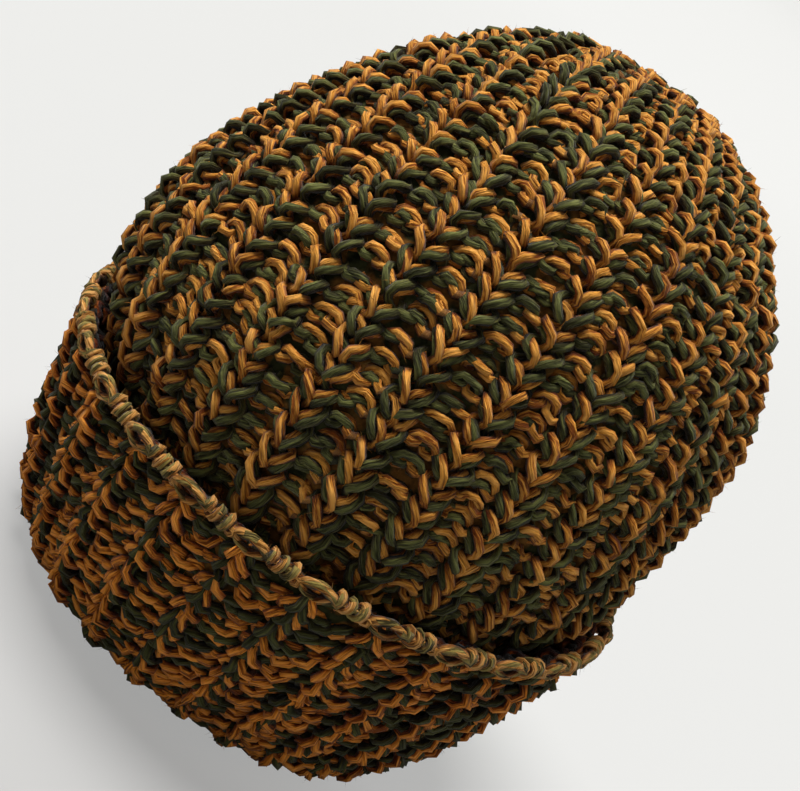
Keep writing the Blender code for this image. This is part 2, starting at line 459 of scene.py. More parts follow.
def rows_along(line, way):
    """The row at each point of the middle lines."""
    step = np.linalg.norm(np.diff(line, axis=1), axis=2)
    arcs = np.concatenate([np.zeros((len(line), 1)), np.cumsum(step, 1)], 1)
    over_edge = line[:, :, 2] > (edge_height(way) + EDGE_HEIGHT)[:, None]
    over_edge[:, : CUFF_POINTS + FOLD_POINTS] = False
    row_heights = BACK_ROW_HEIGHT + (FRONT_ROW_HEIGHT - BACK_ROW_HEIGHT) * (1 - np.sin(way)) / 2
    rows = []
    for arc, over, row_height in zip(arcs, over_edge, row_heights):
        leaves = arc[np.argmax(over)]
        marks = [0, arc[CUFF_POINTS - 1], arc[CUFF_POINTS + FOLD_POINTS], leaves, arc[-1]]
        counts = [0, CUFF_ROWS, CROWN_STARTS, CROWN_SHOWS, CROWN_SHOWS + (arc[-1] - leaves) / row_height]
        rows.append(np.interp(arc, marks, counts))
    rows = soften(np.array(rows)[..., None], 3)[..., 0]
    rows[:, 0] = 0
    return rows


class Sheet:
    """The middle of the fabric as a grid over columns and rows, with its normals and rib pitch."""

    def __init__(self, origin):
        angles = np.arange(GRID_COLUMNS) * math.tau / GRID_COLUMNS
        lines = fabric_line(angles)
        rows = rows_along(lines, angles + RIB_START - math.pi / 2)
        self.last_row = rows[:, -1]
        self.row_count = int(self.last_row.max())
        wanted = np.arange(0, self.row_count * GRID_ROWS_A_COURSE + 1) / GRID_ROWS_A_COURSE
        place = [[np.interp(wanted, row, line[:, k]) for k in range(3)] for row, line in zip(rows, lines)]
        place = np.array(place).transpose(0, 2, 1) + np.array([origin[0], origin[1], 0])
        across = (np.roll(place, -1, 0) - np.roll(place, 1, 0)) * GRID_COLUMNS / RIBS / 2
        along = np.gradient(place, axis=1) * GRID_ROWS_A_COURSE
        normal = unit(np.cross(across, along))
        pitch = np.linalg.norm(across, axis=2, keepdims=True)
        self.grid = np.concatenate([place, normal, pitch, along], 2)

    def read(self, column, row):
        """Place, normal, rib pitch and the direction along the column, at columns and rows of any shape."""
        x = np.mod(column, RIBS) * GRID_COLUMNS / RIBS
        y = np.clip(row * GRID_ROWS_A_COURSE, 0, self.grid.shape[1] - 1.001)
        i, j = x.astype(int), y.astype(int)
        s, t = (x - i)[..., None], (y - j)[..., None]
        i, k = i % GRID_COLUMNS, (i + 1) % GRID_COLUMNS
        g = self.grid
        low = g[i, j] * (1 - s) + g[k, j] * s
        high = g[i, j + 1] * (1 - s) + g[k, j + 1] * s
        found = low * (1 - t) + high * t
        return found[..., :3], found[..., 3:6], found[..., 6], found[..., 7:]

    def read_tucked(self, column, row):
        """Place, normal, rib pitch and tuck, where crowded ribs spread over those that tuck in."""
        tuck = smoothstep(-self.read(column, row)[2], -TUCK_FROM_PITCH, -TUCK_TO_PITCH)
        warped = column + tuck * TUCK_WIDEN * np.sin(math.pi * column) / math.pi
        place, normal, pitch, _ = self.read(warped, row)
        return place, normal, pitch, tuck

    def ends(self, column):
        """The row at which each column comes to its end in the gather."""
        columns = np.arange(GRID_COLUMNS + 1) * RIBS / GRID_COLUMNS
        return np.interp(column, columns, np.append(self.last_row, self.last_row[0]))


# The yarn


def stitch_points(count):
    """One knit stitch as count points from its left side, closer together where the yarn bends."""
    half = np.array(HALF_STITCH)
    whole = np.concatenate([half, half[-2::-1] * np.array([-1, 1, 1, 1])])
    # its neighbours are purl stitches, so their nearest points are these seen from behind
    before = [(-2 - whole[j, 0], whole[j, 1], -whole[j, 2], whole[j, 3]) for j in (2, 1)]
    after = [(2 - whole[-1 - j, 0], whole[-1 - j, 1], -whole[-1 - j, 2], whole[-1 - j, 3]) for j in (1, 2)]
    table = np.concatenate([before, whole, after])
    fine = smooth_table(table, np.linspace(2, 2 + len(whole) - 1, FINE_POINTS))
    real = fine[:, :3] * np.array([KNIT_WIDTH / 2, FRONT_ROW_HEIGHT, 1])
    step = np.diff(real, axis=0)
    length = np.linalg.norm(step, axis=1)
    heading = step / length[:, None]
    bend = np.append(np.linalg.norm(np.diff(heading, axis=0), axis=1), 0)
    run = np.concatenate([[0], np.cumsum(length)])
    pace = np.concatenate([[0], np.cumsum(length + BEND_PACE * bend)])
    at = np.arange(count) / count * pace[-1]
    points = np.stack([np.interp(at, pace, fine[:, k]) for k in range(4)], -1)
    return points, np.interp(at, pace, run) / run[-1], run[-1]


def wave(column, row, size, seed, round_hat, up_hat):
    """A slow random wave over the sheet, about as large as size."""
    rng = np.random.default_rng(seed)
    total = 0
    for _ in range(5):
        turns = rng.integers(1, round_hat + 1)
        climb = rng.uniform(0.3, 1) * up_hat * row
        total = total + np.sin(math.tau * turns * column / RIBS + climb + rng.uniform(0, math.tau))
    return size * (total / 3)


def smooth_noise(rng, rows, count):
    """Random values along each course that change smoothly from stitch to stitch."""
    knots = rng.normal(0, 1, (rows, 2 * STITCHES_ROUND))
    at = np.arange(STITCHES_ROUND * count) / count * 2
    i = at.astype(int)
    t = smoothstep(at - i, 0, 1)
    value = knots[:, i] * (1 - t) + knots[:, (i + 1) % (2 * STITCHES_ROUND)] * t
    return value.reshape(rows, STITCHES_ROUND, count)


def stitch_size(pitch):
    """How large stitches are across the fabric: full size, or less where the ribs are close together."""
    return np.clip(pitch / FULL_PITCH, SMALLEST_STITCH, 1.0)


def off_sheet(off, column, row, size, tuck):
    """Distances off the fabric's middle as distances off the sheet, with the ribs, a wave and the tucks."""
    off = off + RIB_RISE * np.cos(math.tau * column) * size
    off = off + wave(column, row, *OUT_WAVE)
    return off - tuck * TUCK_DEPTH * (1 - np.cos(math.pi * column)) / 2


def loose_stitches(sheet, rng, rows, template):
    """Columns and rows of the stitches' points, uneven as in hand knitting, and their strays outwards."""
    stitches = np.arange(STITCHES_ROUND)
    middle = (stitches / 2)[None, :] + 0 * rows[:, None]
    row = rows[:, None] + 0 * middle
    pitch = sheet.read(middle, row + 0.5)[2]
    knit_width = np.minimum(KNIT_WIDTH, KNIT_SHARE_LIMIT * pitch)
    half = (np.where(stitches % 2 == 1, pitch - knit_width, knit_width) / pitch / 2)[..., None]
    shape = (len(rows), STITCHES_ROUND, 1)
    wide, tall, lift, shift, rise = (rng.normal(0, stray, shape) for stray in STRAYING.values())
    share, up = template[:, 0], template[:, 1]
    # stitches hang together at their ends, and stray most in the middle
    free = np.sin(np.linspace(0, 1, len(template), endpoint=False) * math.pi) ** 2
    column = middle[..., None] + half * share * (1 + wide * free) + shift * free * half
    row = row[..., None] + up * (1 + tall * free) + rise * free
    column = column + sum(wave(column, row, *aside) for aside in ASIDE_WAVES)
    return column, row + wave(column, row, *UP_WAVE), lift * free


def strand_twist(rng, column, row, travelled, on_cuff):
    """The angle at which the orange strand lies round the middle of the yarn."""
    turns, start = CUFF_PLY if on_cuff else CROWN_PLY
    twist = math.tau * turns * travelled[None] + math.radians(start)
    twist = twist + rng.normal(0, COURSE_TURN, (len(row), 1, 1))
    twist = twist + smooth_noise(rng, len(row), travelled.shape[1]) * PLY_DRIFT
    twist = twist + wave(column, row, *TWIST_WAVE)
    if on_cuff:
        right = np.cos(math.tau * column / RIBS + RIB_START - math.pi / 2)
        twist = twist + CUFF_TURN_RIGHT * smoothstep(right, *CUFF_TURN_FROM_TO)
    return twist


def ply_direction(points, normal, twist):
    """From the middle of a yarn that closes round the hat to its first strand."""
    tangent = unit(np.roll(points, -1, -2) - np.roll(points, 1, -2))
    side = unit(np.cross(tangent, normal))
    over = np.cross(side, tangent)
    return np.cos(twist)[..., None] * side + np.sin(twist)[..., None] * over


def courses(sheet, first, last, count, seed):
    """Yarn paths of the courses from first up to last: middle line, ply direction and marks of each point."""
    template, part, length = stitch_points(count)
    height, thick = template[:, 2], template[:, 3]
    rng = np.random.default_rng(seed)
    rows = np.arange(first, last)
    stitches = np.arange(STITCHES_ROUND)
    travelled = stitches[:, None] + part[None, :]
    column, row, stray = loose_stitches(sheet, rng, rows, template)
    place, normal, pitch, tuck = sheet.read_tucked(column, row)
    size = stitch_size(pitch)
    # a purl stitch is a knit stitch seen from behind
    flat = np.where((stitches % 2 == 1)[:, None], -height, height)
    pressed = bell(row, FOLD_MIDDLE, PRESSED_ROWS)
    hidden = smoothstep(row, CROWN_STARTS - 1, CROWN_STARTS + 1)
    hidden = hidden * (1 - smoothstep(row, CROWN_SHOWS - 2, CROWN_SHOWS))
    flat = flat * (1 - PRESSED_FLAT * pressed)
    off = off_sheet(flat * (1 - HIDDEN_FLAT * hidden) * size + stray, column, row, size, tuck)
    points = place + normal * off[..., None]
    points = points + sideways(points) * FOLD_SWELL * pressed[..., None]
    twist = strand_twist(rng, column, row, travelled, first < CROWN_STARTS)
    tone = smooth_noise(rng, len(rows), count)
    spread = np.maximum(LEAST_SPREAD, 1 + SPREAD_VARIES * smooth_noise(rng, len(rows), count))
    # the cuff shows the fabric's other side
    outside = 2 * smoothstep(row, CROWN_STARTS - 0.5, CROWN_STARTS + 0.5) - 1
    knit_share = (1 + outside * np.cos(math.tau * column)) / 2
    fill = thick * size * (CAST_ON_THICKNESS + (1 - CAST_ON_THICKNESS) * smoothstep(row, 0.1, 0.9))
    # how high the yarn lies, the mark for the painted depth shade and the fuzz
    high = outside * off + PRESSED_HIGHER * pressed

    # from here on the stitches of a course are one line of points
    joined = (len(rows), STITCHES_ROUND * count)
    points, normal = (values.reshape(*joined, 3) for values in (points, normal))
    twist, tone, spread, outside, pressed, knit_share, fill, high = (
        values.reshape(joined) for values in (twist, tone, spread, outside, pressed, knit_share, fill, high)
    )
    ply = ply_direction(points, normal, twist)
    points = points + rng.normal(0, STRAND_WOBBLE, points.shape)
    # the way the face of the yarn turns, whose side is left out of the painted flank shade
    turned = PRESSED_SIDEWAYS * pressed[..., None]
    outward = unit(outside[..., None] * normal * (1 - turned) + sideways(points) * turned)
    along = (travelled * length).reshape(1, -1) + YARN_STARTS * rng.random((len(rows), 1))
    there = rows[:, None] + ROWS_TO_END < sheet.ends(stitches / 2)[None, :]
    return {
        "points": points,
        "ply": ply * spread[..., None],
        "fill": fill * (1 + THICKNESS_VARIES * rng.normal(0, 1, joined)) * (1 + TONE_THICKENS * tone),
        "tone": tone,
        "along": along,
        "height": high,
        "knit_share": knit_share,
        "facing": outside * np.einsum("rni,rni->rn", ply, normal),
        "outward": outward,
        "there": np.repeat(there, count, 1),
    }


def depth_mark_for_shade_and_fuzz(height, knit_share):
    """0 for yarn deep in the fabric to 1 for yarn on its face, the mark for painted shade and fuzz; its back
    comes up less.

    In a knit column the sides of the stitches stand high, and in a purl column their tops do, lower down."""
    purl_share = 1 - knit_share
    front = knit_share * (height + KNIT_DEEP) / KNIT_SPAN + purl_share * (height + PURL_DEEP) / PURL_SPAN
    back = purl_share * (KNIT_DEEP - height) / KNIT_SPAN + knit_share * (PURL_DEEP - height) / PURL_SPAN
    return np.clip(np.maximum(front, BACK_SHOWS * np.minimum(back, 1)), 0, 1)


def runs(there):
    """The parts of a course that are there, each as its points and whether it closes round the hat."""
    points = np.arange(len(there))
    if there.all():
        return [(points, True)]
    order = np.roll(points, -int(np.argmin(there)))
    cuts = np.flatnonzero(np.diff(np.concatenate([[0], there[order].astype(int), [0]])))
    return [(order[a:b], False) for a, b in zip(cuts[::2], cuts[1::2]) if b - a > 3]


def two_strands(part, course, chosen):
    """Places and marks of the orange strand, and then of the green one, along a run of a course."""
    run = {key: values[course][chosen] for key, values in part.items()}
    for sign, green in ((1, 0.0), (-1, 1.0)):
        facing = sign * run["facing"]
        marks = {
            "ply": run["ply"] * sign,
            "outward": run["outward"],
            "fill": run["fill"] * (1 + PLY_BULGE * facing),
            "tone": run["tone"],
            "along": run["along"] + GREEN_ALONG * green,
            "green": np.full(len(chosen), green),
            "lift": depth_mark_for_shade_and_fuzz(run["height"] + facing, run["knit_share"]),
        }
        yield run["points"], marks


def path_mesh(name, parts):
    """A mesh of bare edges that follows the yarn paths, once for each strand, with the marks as attributes.

    parts is a list of courses. A course that isn't there all the way round becomes open runs."""
    places, links, all_marks = [], [], []
    start = 0
    for part in parts:
        for course, there in enumerate(part["there"]):
            for chosen, closed in runs(there):
                steps = np.arange(len(chosen) if closed else len(chosen) - 1)
                steps = np.stack([steps, (steps + 1) % len(chosen)], 1)
                for place, marks in two_strands(part, course, chosen):
                    places.append(place)
                    all_marks.append(marks)
                    links.append(steps + start)
                    start += len(chosen)
    mesh = bpy.data.meshes.new(name)
    mesh.vertices.add(start)
    mesh.vertices.foreach_set("co", (np.concatenate(places) * MM).astype(np.float32).ravel())
    links = np.concatenate(links)
    mesh.edges.add(len(links))
    mesh.edges.foreach_set("vertices", links.astype(np.int32).ravel())
    for key in all_marks[0]:
        values = np.concatenate([marks[key] for marks in all_marks]).astype(np.float32)
        kind, field = ("FLOAT_VECTOR", "vector") if values.ndim == 2 else ("FLOAT", "value")
        mesh.attributes.new(key, kind, "POINT").data.foreach_set(field, values.ravel())
    mesh.update()
    return mesh


def ground_mesh(name, first, last):
    """The middle of the fabric between two rows as a thin closed layer, where the hidden yarn fills it."""
    fabric = sheet()
    count = RIBS * GROUND_COLUMNS_A_RIB
    ribs = np.arange(count)[:, None] * RIBS / count
    share = np.linspace(0, 1, round(GROUND_ROWS_A_COURSE * (last - first)) + 1)[None, :]
    row = first + (np.minimum(last, fabric.ends(ribs) - ROWS_TO_END) - first) * share
    column = ribs + 0 * row
    place, normal, _, tuck = fabric.read_tucked(column, row)
    off = off_sheet(0.0, column, row, stitch_size(fabric.read(column, row)[2]), tuck)
    skins = [place + normal * (off + side)[..., None] for side in (GROUND_HALF, -GROUND_HALF)]
    rows = row.shape[1]
    points = np.concatenate([s.reshape(-1, 3) for s in skins]) * MM
    under = count * rows
    top = rows - 1
    faces = []
    for i in range(count):
        here, beside = i * rows, (i + 1) % count * rows
        for k in range(top):
            quad = (here + k, beside + k, beside + k + 1, here + k + 1)
            faces.append(quad)
            faces.append(tuple(q + under for q in reversed(quad)))
        faces.append((beside, here, here + under, beside + under))
        faces.append((here + top, beside + top, beside + top + under, here + top + under))
    mesh = bpy.data.meshes.new(name)
    mesh.from_pydata(points.tolist(), [], faces)
    mesh.shade_smooth()
    return mesh


# Nodes


def feed(tree, made, inputs):
    """Sets a node's inputs, each to a value or to the socket that feeds it."""
    for key, value in inputs.items():
        if isinstance(value, bpy.types.NodeSocket):
            tree.links.new(value, made.inputs[key])
        else:
            made.inputs[key].default_value = value


def node(tree, kind, inputs=None, **settings):
    """A new node with its settings and inputs."""
    made = tree.nodes.new(kind)
    for key, value in settings.items():
        setattr(made, key, value)
    feed(tree, made, inputs or {})
    return made


def maths(tree, operation, *values):
    """What a math node makes of values and sockets."""
    return node(tree, "ShaderNodeMath", dict(enumerate(values)), operation=operation).outputs[0]


def map_range(tree, value, low, high, to_low=0.0, to_high=1.0):
    """The value, with the range from low to high taken over to another range."""
    ranges = {"From Min": low, "From Max": high, "To Min": to_low, "To Max": to_high}
    return node(tree, "ShaderNodeMapRange", {"Value": value, **ranges}).outputs["Result"]


def new_tree(name, kind, inputs, outputs):
    """A node group with named sockets, and the sockets of its input and output nodes."""
    tree = bpy.data.node_groups.new(name, kind)
    for in_out, sockets in (("INPUT", inputs), ("OUTPUT", outputs)):
        for socket, socket_kind in sockets.items():
            tree.interface.new_socket(socket, in_out=in_out, socket_type="NodeSocket" + socket_kind)
    return tree, node(tree, "NodeGroupInput").outputs, node(tree, "NodeGroupOutput").inputs


# Geometry node trees


def named(tree, name, kind="FLOAT"):
    return node(tree, "GeometryNodeInputNamedAttribute", {"Name": name}, data_type=kind).outputs["Attribute"]


def dress(tree, geometry, material, result):
    """Ends a tree with its instances realized, in their material."""
    real = node(tree, "GeometryNodeRealizeInstances", {"Geometry": geometry})
    dressed = node(tree, "GeometryNodeSetMaterial", {"Geometry": real.outputs[0], "Material": material})
    tree.links.new(dressed.outputs[0], result)


def strand_tree():
    """Sweeps a round strand along each path, moved off the path by the ply direction."""
    inputs = {
        "Paths": "Geometry",
        "Strand radius": "Float",
        "Strand offset": "Float",
        "Sides": "Int",
        "Lowest place": "Float",
        "Wool": "Material",
    }
    tree, given, result = new_tree("Yarn strands", "GeometryNodeTree", inputs, {"Strands": "Geometry"})
    fill = named(tree, "fill")
    reach = maths(tree, "MULTIPLY", given["Strand offset"], fill)
    ply = {0: named(tree, "ply", "FLOAT_VECTOR"), "Scale": reach}
    offset = node(tree, "ShaderNodeVectorMath", ply, operation="SCALE").outputs[0]
    move = node(tree, "GeometryNodeSetPosition", {"Geometry": given["Paths"], "Offset": offset})
    # nothing goes under the floor that the hat stands on
    place = node(tree, "GeometryNodeInputPosition").outputs[0]
    split = node(tree, "ShaderNodeSeparateXYZ", {0: place}).outputs
    height = maths(tree, "MAXIMUM", split["Z"], given["Lowest place"])
    lifted = node(tree, "ShaderNodeCombineXYZ", {"X": split["X"], "Y": split["Y"], "Z": height}).outputs[0]
    floor = node(tree, "GeometryNodeSetPosition", {"Geometry": move.outputs[0], "Position": lifted})
    curve = node(tree, "GeometryNodeMeshToCurve", {"Mesh": floor.outputs[0]})
    path = node(tree, "GeometryNodeSetCurveRadius", {"Curve": curve.outputs[0], "Radius": fill})
    size = {"Resolution": given["Sides"], "Radius": given["Strand radius"]}
    circle = node(tree, "GeometryNodeCurvePrimitiveCircle", size, mode="RADIUS")
    around = node(tree, "ShaderNodeVectorMath", {0: place}, operation="NORMALIZE").outputs[0]
    mark = {"Geometry": circle.outputs["Curve"], "Name": "around", "Value": around}
    outline = node(tree, "GeometryNodeStoreNamedAttribute", mark, data_type="FLOAT_VECTOR", domain="POINT")
    swept = {"Curve": path.outputs[0], "Profile Curve": outline.outputs[0], "Fill Caps": True}
    strand = node(tree, "GeometryNodeCurveToMesh", swept)
    smooth = node(tree, "GeometryNodeSetShadeSmooth", {"Geometry": strand.outputs[0]})
    dress(tree, smooth.outputs[0], given["Wool"], result["Strands"])
    return tree


def fuzz_tree():
    """Scatters short pointed fibres over the yarn."""
    inputs = {
        "Yarn": "Geometry",
        "Fibres a square metre": "Float",
        "Fibre length": "Float",
        "Fibre radius": "Float",
        "Seed": "Int",
        "Wool": "Material",
    }
    tree, given, result = new_tree("Fuzz fibres", "GeometryNodeTree", inputs, {"Fibres": "Geometry"})
    seed = {"Seed": given["Seed"]}
    # the fibres stand off the yarn that lies on the face of the fabric
    density = map_range(tree, named(tree, "lift"), 0.55, 0.95, 0.0, given["Fibres a square metre"])
    over = {"Mesh": given["Yarn"], "Density": density, **seed}
    spread = node(tree, "GeometryNodeDistributePointsOnFaces", over, distribute_method="RANDOM").outputs
    cone = {"Vertices": 3, "Radius Top": 0.0, "Radius Bottom": given["Fibre radius"]}
    cone["Depth"] = given["Fibre length"]
    hair = node(tree, "GeometryNodeMeshCone", cone, fill_type="NGON")
    tilts = {0: (-FIBRE_TILT, -FIBRE_TILT, 0), 1: (FIBRE_TILT, FIBRE_TILT, math.tau), **seed}
    tilt = node(tree, "FunctionNodeRandomValue", tilts, data_type="FLOAT_VECTOR").outputs[0]
    turns = {0: spread["Rotation"], 1: tilt}
    turn = node(tree, "FunctionNodeRotateRotation", turns, rotation_space="LOCAL").outputs[0]
    length = node(tree, "FunctionNodeRandomValue", {2: 0.4, 3: 1.5, **seed}, data_type="FLOAT").outputs[1]
    laid = {"Points": spread["Points"], "Instance": hair.outputs["Mesh"], "Rotation": turn, "Scale": length}
    fibres = node(tree, "GeometryNodeInstanceOnPoints", laid)
    dress(tree, fibres.outputs[0], given["Wool"], result["Fibres"])
    return tree


def made_solid(name, mesh, tree, values):
    """Runs the tree on the mesh and gives a plain object with the result."""
    source = bpy.data.objects.new(name + "_source", mesh)
    bpy.context.scene.collection.objects.link(source)
    modifier = source.modifiers.new("nodes", "NODES")
    modifier.node_group = tree
    sockets = [s for s in tree.interface.items_tree if s.item_type == "SOCKET" and s.in_out == "INPUT"]
    names = {s.name: s.identifier for s in sockets}
    for key, value in values.items():
        modifier[names[key]] = value
    depsgraph = bpy.context.evaluated_depsgraph_get()
    evaluated = source.evaluated_get(depsgraph)
    result = bpy.data.meshes.new_from_object(evaluated, preserve_all_data_layers=True, depsgraph=depsgraph)
    result.name = name
    source.modifiers.remove(modifier)
    bpy.data.objects.remove(source, do_unlink=True)
    made = bpy.data.objects.new(name, result)
    bpy.context.scene.collection.objects.link(made)
    return made


# Materials


def strand_group():
    """The plies and fibres of one strand, from the strand's own marks."""
    inputs = {"Along": "Float", "Plies": "Float", "Turns a metre": "Float", "Around": "Vector"}
    outputs = {"Ply": "Float", "Streaks": "Float", "Height": "Float"}
    tree, given, result = new_tree("Strand fibres", "ShaderNodeTree", inputs, outputs)
    split = node(tree, "ShaderNodeSeparateXYZ", {0: given["Around"]}).outputs
    angle = maths(tree, "ARCTAN2", split["Y"], split["X"])
    turns = maths(tree, "MULTIPLY", given["Along"], given["Turns a metre"])
    turned = maths(tree, "MULTIPLY", turns, math.tau)
    plies = maths(tree, "MULTIPLY_ADD", angle, given["Plies"], turned)
    ply = maths(tree, "ABSOLUTE", maths(tree, "COSINE", maths(tree, "MULTIPLY", plies, 0.5)))
    # fibre streaks lie slightly slanted along the strand, so they are read off twisted coordinates
    slant = maths(tree, "MULTIPLY_ADD", turned, 0.5, angle)
    stretched = maths(tree, "MULTIPLY", given["Along"], STREAK_STRETCH)
    coords = {"X": maths(tree, "COSINE", slant), "Y": maths(tree, "SINE", slant), "Z": stretched}
    place = node(tree, "ShaderNodeCombineXYZ", coords).outputs[0]
    noise = {"Vector": place, "Scale": 1.7, "Detail": 3.0, "Roughness": 0.7}
    streaks = map_range(tree, node(tree, "ShaderNodeTexNoise", noise).outputs["Fac"], 0.35, 0.65)
    tree.links.new(ply, result["Ply"])
    tree.links.new(streaks, result["Streaks"])
    tree.links.new(maths(tree, "MULTIPLY_ADD", streaks, STREAK_BUMP, ply), result["Height"])
    return tree


def attribute(tree, name, output="Fac"):
    return node(tree, "ShaderNodeAttribute", attribute_type="GEOMETRY", attribute_name=name).outputs[output]


def ramp(tree, source, stops):
    made = node(tree, "ShaderNodeValToRGB", {"Fac": source})
    band = made.color_ramp
    while len(band.elements) < len(stops):
        band.elements.new(0.5)
    for element, (place, colour) in zip(band.elements, stops):
        element.position = place
        element.color = (*colour, 1)
    return made.outputs["Color"]


def mix(tree, kind, factor, first, second):
    colours = [(*value, 1) if isinstance(value, tuple) else value for value in (first, second)]
    inputs = {0: factor, 6: colours[0], 7: colours[1]}
    return node(tree, "ShaderNodeMix", inputs, data_type="RGBA", blend_type=kind).outputs[2]


def bump(tree, height, strength, distance):
    inputs = {"Strength": strength, "Distance": distance, "Height": height}
    return node(tree, "ShaderNodeBump", inputs).outputs[0]


def new_material(name):
    """A material with its node tree and its shader."""
    material = bpy.data.materials.new(name)
    material.use_nodes = True
    return material, material.node_tree, material.node_tree.nodes["Principled BSDF"]


def glint(colour, factors):
    """The colour of a strand's brightest fibres, in part a painted highlight."""
    return tuple(min(BRIGHTEST, c * f) for c, f in zip(colour, factors))


def marled_wool(name, orange, green, orange_dark, green_dark):
    """Matt wool of the two strands, told apart by the strand's own mark, with painted shade in the fabric's
    depths, the plies' grooves and the strands' flanks.
    """
    material, tree, shader = new_material(name)
    marks = {
        "Along": maths(tree, "MULTIPLY", attribute(tree, "along"), MM),
        "Around": attribute(tree, "around", "Vector"),
        "Plies": PLIES,
        "Turns a metre": PLY_TURNS_A_METRE,
    }
    group = once("strand_group", strand_group)
    fibres = node(tree, "ShaderNodeGroup", marks, node_tree=group).outputs
    toned = map_range(tree, attribute(tree, "tone"), -TONE_REACH, TONE_REACH)
    streaked = maths(tree, "MULTIPLY_ADD", fibres["Streaks"], STREAK_CONTRAST, STREAK_BASE)
    shade = maths(tree, "MULTIPLY_ADD", toned, TONE_SHARE, streaked)
    warm = ramp(tree, shade, [(0.05, orange_dark), (0.5, orange), (1.0, glint(orange, ORANGE_GLINT))])
    cold = ramp(tree, shade, [(0.05, green_dark), (0.5, green), (1.0, glint(green, GREEN_GLINT))])
    colour = mix(tree, "MIX", attribute(tree, "green"), warm, cold)
    # painted shade in the grooves between the plies
    groove = map_range(tree, fibres["Ply"], 0.0, GROOVE_WIDTH, GROOVE_SHADE, 1.0)
    colour = mix(tree, "MULTIPLY", 1.0, colour, groove)
    # painted shade in the fabric's recesses, by how deep the yarn lies
    colour = mix(tree, "MULTIPLY", 1.0, colour, ramp(tree, attribute(tree, "lift"), DEPTH_PAINTED_SHADE))
    # painted shade: the flanks of a strand, which lie against its neighbours, are darkened in its colour
    normal = {0: node(tree, "ShaderNodeNewGeometry").outputs["Normal"]}
    ways = {"vector_type": "NORMAL", "convert_from": "WORLD", "convert_to": "OBJECT"}
    turned = node(tree, "ShaderNodeVectorTransform", normal, **ways).outputs[0]
    pair = {0: turned, 1: attribute(tree, "outward", "Vector")}
    faced = node(tree, "ShaderNodeVectorMath", pair, operation="DOT_PRODUCT").outputs["Value"]
    ragged = maths(tree, "MULTIPLY_ADD", fibres["Streaks"], 0.3, faced)
    colour = mix(tree, "MULTIPLY", 1.0, colour, ramp(tree, ragged, FLANK_PAINTED_SHADE))
    looks = {
        "Base Color": colour,
        "Roughness": map_range(tree, fibres["Streaks"], 0.0, 1.0, ROUGHEST, SMOOTHEST),
        "Normal": bump(tree, fibres["Height"], 0.9, 0.4 * MM),
        "Specular IOR Level": 0.12,
        "Sheen Weight": 0.1,
        "Sheen Roughness": 0.4,
    }
    feed(tree, shader, looks)
    return material


def ground_wool():
    """The yarn deep in the fabric, in painted shade: matted strands of both colours, much darker than the
    strands' own colours.
    """
    material, tree, shader = new_material("ground_wool")
    place = node(tree, "ShaderNodeTexCoord").outputs["Object"]
    matted = {"Vector": place, "Scale": 260.0, "Detail": 5.0, "Roughness": 0.65}
    strands = node(tree, "ShaderNodeTexNoise", matted).outputs["Fac"]
    coarse = {"Vector": place, "Scale": 170.0, "Detail": 1.0}
    patches = node(tree, "ShaderNodeTexNoise", coarse).outputs["Fac"]
    # painted shade: both ramps are much darker than the strands' own colours
    warm = ramp(tree, strands, [(0.35, (0.040, 0.016, 0.004)), (0.65, (0.19, 0.085, 0.020))])
    cold = ramp(tree, strands, [(0.35, (0.006, 0.007, 0.003)), (0.65, (0.040, 0.042, 0.016))])
    looks = {
        "Base Color": mix(tree, "MIX", map_range(tree, patches, 0.45, 0.55), warm, cold),
        "Normal": bump(tree, strands, 1.0, 1.0 * MM),
        "Roughness": 0.95,
        "Specular IOR Level": 0.05,
    }
    feed(tree, shader, looks)
    return material


# Settings


def length_setting(name, description, default):
    return bpy.props.FloatProperty(name=name, description=description, default=default, unit="LENGTH")


def angle_setting(name, description, degrees):
    default = math.radians(degrees)
    return bpy.props.FloatProperty(name=name, description=description, default=default, subtype="ANGLE")


def amount_setting(name, description, default):
    return bpy.props.FloatProperty(name=name, description=description, default=default)


def colour_setting(name, description, default):
    return bpy.props.FloatVectorProperty(name=name, description=description, default=default, subtype="COLOR")


class KnitHatYarn(bpy.types.PropertyGroup):
    """Sizes and colours of the yarn."""

    strand_radius: length_setting("Strand radius", "Radius of one of the two strands", 0.00143)
    strand_offset: length_setting("Strand offset", "From the middle of the yarn to that of a strand", 0.00098)
    sides: bpy.props.IntProperty(name="Sides", description="Faces round each strand", default=4, min=3)
    orange: colour_setting("Orange", "Colour of the orange strand", (0.63, 0.262, 0.034))
    # painted shade: the cuff's orange is redder and its green darker than the crown's, for the shade on the
    # cuff
    cuff_orange_shaded: colour_setting("Cuff orange", "The orange strand on the cuff", (0.76, 0.255, 0.025))
    cuff_green_shaded: colour_setting("Cuff green", "The green strand on the cuff", (0.044, 0.046, 0.013))
    orange_dark: colour_setting("Dark orange", "Deepest colour in the orange strand", (0.20, 0.050, 0.006))
    green: colour_setting("Green", "Colour of the green strand", (0.076, 0.080, 0.024))
    green_dark: colour_setting("Dark green", "Deepest colour in the green strand", (0.022, 0.022, 0.006))
    fuzz: amount_setting("Fuzz", "Fibres that stand off each square metre of yarn", 33000.0)
    fibre_length: length_setting("Fibre length", "Usual length of a loose fibre", 0.0020)
    fibre_radius: length_setting("Fibre radius", "Radius of a loose fibre at its root", 0.00005)


class KnitHatStudio(bpy.types.PropertyGroup):
    """The camera and the light."""

    distance: length_setting("Camera distance", "From the camera to the hat's middle", 0.518)
    elevation: angle_setting("Elevation", "Angle at which the camera looks down", 19.25)
    roll: angle_setting("Roll", "Turn of the camera about its own line of sight", 41.47)
    key_power: amount_setting("Key light", "Power of the light overhead", 5.5)
    sky: amount_setting("Sky", "Strength of the even light from all round", 0.3)


# Pieces

kept = {}


